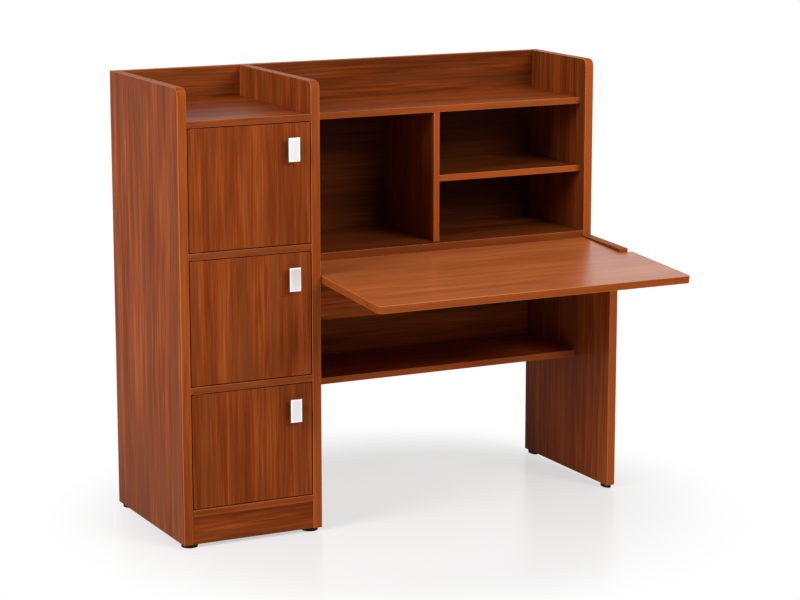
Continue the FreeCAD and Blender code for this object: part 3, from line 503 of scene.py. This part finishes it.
BRASS_RADIUS = 0.0020
BRASS_RISE = 0.0002
LATCH_SPACING = 0.009
KEEP_SPACING = 0.0103
low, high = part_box("flap_latch")
middle = (low + high) / 2
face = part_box("tower_right_side")[1].x
latch_screws = bmesh.new()
for side in (-1, 1):
    point = (face, middle.y, middle.z + side * LATCH_SPACING)
    screw_head(latch_screws, point, (1, 0, 0), BRASS_RADIUS, BRASS_RISE)
new_piece("latch_screws", latch_screws, brass, "carcass")
low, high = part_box("flap_keep_plate")
middle = (low + high) / 2
keep_screws = bmesh.new()
for side in (-1, 1):
    point = middle + flap_run * side * KEEP_SPACING
    point.x = low.x
    screw_head(keep_screws, point, (-1, 0, 0), BRASS_RADIUS, BRASS_RISE)
new_piece("keep_screws", keep_screws, bronze, "flap")

# Loose tongues: flat slips of plain beech in the joints between the boards.
# They are glued in their slots and hidden once the unit stands.
BEECH = ((0.30, (0.50, 0.32, 0.17)), (0.70, (0.68, 0.48, 0.29)))
beech, shade = new_finish("plain_beech")
place = shade.node("ShaderNodeTexCoord", output="Object")
fleck = streaks(shade, place, X, 101, width=0.0015, length=0.02, detail=3.0)
tone = shade.node("ShaderNodeValToRGB", {"Fac": fleck}, stops=BEECH)
surfaced(beech, shade, Base_Color=tone, Roughness=0.60 + fleck * 0.15)
wear("loose_tongues", beech)

# Feet: black moulded plastic glides, nailed up from below under the ends of the three panels.
# They are round under the tower's sides, and slim pads within the panel's thickness under the leg.
BLACK = ((0.35, (0.003, 0.003, 0.003)), (0.65, (0.007, 0.007, 0.007)))
GLIDE_SEGMENTS = 28
GLIDE_RADIUS = 0.022
GLIDE_INSET = 0.025
GLIDE_MARGIN = 0.027
GLIDE_ROUNDING = 0.0012
PAD_WIDTH = 0.50
glide_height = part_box("feet")[1].z
left, right, leg = [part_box(panel) for panel in ("tower_left_side", "tower_right_side", "right_leg")]
glides = bmesh.new()
columns = ((left, left[0].x + GLIDE_INSET, 1.0), (right, right[1].x - GLIDE_INSET, 1.0),
           (leg, (leg[0].x + leg[1].x) / 2, PAD_WIDTH))
for (low, high), x, width in columns:
    for y in (low.y + GLIDE_MARGIN, high.y - GLIDE_MARGIN):
        stand = Matrix.Translation((x, y, glide_height / 2)) @ Matrix.Diagonal((width, 1, 1, 1))
        bmesh.ops.create_cone(glides, cap_ends=True, segments=GLIDE_SEGMENTS, radius1=GLIDE_RADIUS,
                              radius2=GLIDE_RADIUS, depth=glide_height, matrix=stand)
rims = [edge for edge in glides.edges
        if abs(edge.verts[0].co.z - edge.verts[1].co.z) < glide_height / 2]
bmesh.ops.bevel(glides, geom=rims, offset=GLIDE_ROUNDING, affect="EDGES", segments=2, profile=0.5,
                material=-1)
black_plastic = moulding("black_plastic", BLACK, 0.45, 0.08)
feet = new_piece("feet_glides", glides, black_plastic, "carcass")
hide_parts("feet")

# Floor: a wide pale sheet that keeps the unit's shadow, under a white surround.
# It is the stage, not a piece of the unit.
FLOOR_HALF = 30.0
FLOOR_TONE = (0.86, 0.86, 0.86, 1.0)
WHITE = (1.0, 1.0, 1.0, 1.0)
FLOOR_WHITE = 0.54
SHADE_REACH = (0.55, 1.02)
floor_mesh = bmesh.new()
bmesh.ops.create_grid(floor_mesh, x_segments=1, y_segments=1, size=FLOOR_HALF)
floor_data = bpy.data.meshes.new("floor")
floor_mesh.to_mesh(floor_data)
floor_mesh.free()
floor = bpy.data.objects.new("floor", floor_data)
bpy.context.scene.collection.objects.link(floor)
pale, shade = new_finish("pale_floor")
place = shade.node("ShaderNodeTexCoord", output="Object")
distance = shade.node("ShaderNodeVectorMath", {0: place}, output="Value", operation="LENGTH")
# Painted shade: the sheet glows white to camera and mirror rays, less so within about a metre of the
# origin, which darkens the floor round the unit and lets its cast shadow show.
white = distance.between(*SHADE_REACH) * (1 - FLOOR_WHITE) + FLOOR_WHITE
seen = shade.node("ShaderNodeLightPath", output="Is Camera Ray")
mirrored = shade.node("ShaderNodeLightPath", output="Is Glossy Ray")
seen = seen.math("MAXIMUM", seen, mirrored)
sheet = shade.node("ShaderNodeBsdfPrincipled", {"Base Color": FLOOR_TONE, "Roughness": 0.22,
                                                "Specular IOR Level": 0.25})
glow = shade.node("ShaderNodeEmission", {"Color": WHITE, "Strength": 1.0})
stage = shade.node("ShaderNodeMixShader", {0: seen * white, 1: sheet, 2: glow})
shade.node("ShaderNodeOutputMaterial", {"Surface": stage})
floor_data.materials.append(pale)

# Light: a white surround that is seen at full strength but gives a weak fill, a large soft box on the
# left, another in front on the right and one overhead.
SURROUND = 0.22
world = bpy.data.worlds.new("white_surround")
bpy.context.scene.world = world
world.use_nodes = True
world.node_tree.nodes.clear()
shade = Shade(world.node_tree)
path = {name: shade.node("ShaderNodeLightPath", output=f"Is {name} Ray")
        for name in ("Camera", "Glossy", "Transmission")}
direct = path["Camera"].math("MAXIMUM", path["Camera"], path["Glossy"])
direct = direct.math("MAXIMUM", direct, path["Transmission"])
strength = direct * (1.0 - SURROUND) + SURROUND
surround = shade.node("ShaderNodeBackground", {"Color": WHITE, "Strength": strength})
shade.node("ShaderNodeOutputWorld", {"Surface": surround})


def soft_box(name, point, aim, width, height, power, mirrored=True):
    """An area light that faces its aim."""
    lamp = bpy.data.lights.new(name, "AREA")
    lamp.shape = "RECTANGLE"
    lamp.size = width
    lamp.size_y = height
    lamp.energy = power
    item = bpy.data.objects.new(name, lamp)
    item.visible_glossy = mirrored
    item.location = point
    item.rotation_euler = (Vector(aim) - Vector(point)).to_track_quat("-Z", "Y").to_euler()
    bpy.context.scene.collection.objects.link(item)


soft_box("key", (-4.6, -1.1, 3.0), (-0.4, 0.0, 0.6), width=2.2, height=2.0, power=185.0, mirrored=False)
soft_box("front", (1.9, -4.4, 3.4), (0.1, 0.0, 0.6), width=2.4, height=1.8, power=173.0)
soft_box("overhead", (0.2, -1.0, 4.2), (0.0, 0.0, 0.4), width=2.8, height=2.2, power=24.0)

# Camera: a long lens in front of the unit, to its left and above it, without shift.
# It looks a little to the right and down.
LENS = 113.28
EYE = (-2.9861, -5.9260, 1.9124)
YAW = math.radians(26.744)
PITCH = math.radians(11.275)
camera_data = bpy.data.cameras.new("camera")
camera_data.lens = LENS
camera_data.sensor_width = 36.0
camera = bpy.data.objects.new("camera", camera_data)
camera.location = EYE
camera.rotation_euler = (math.pi / 2 - PITCH, 0.0, -YAW)
bpy.context.scene.collection.objects.link(camera)
bpy.context.scene.camera = camera
bpy.context.scene.view_settings.view_transform = "Standard"
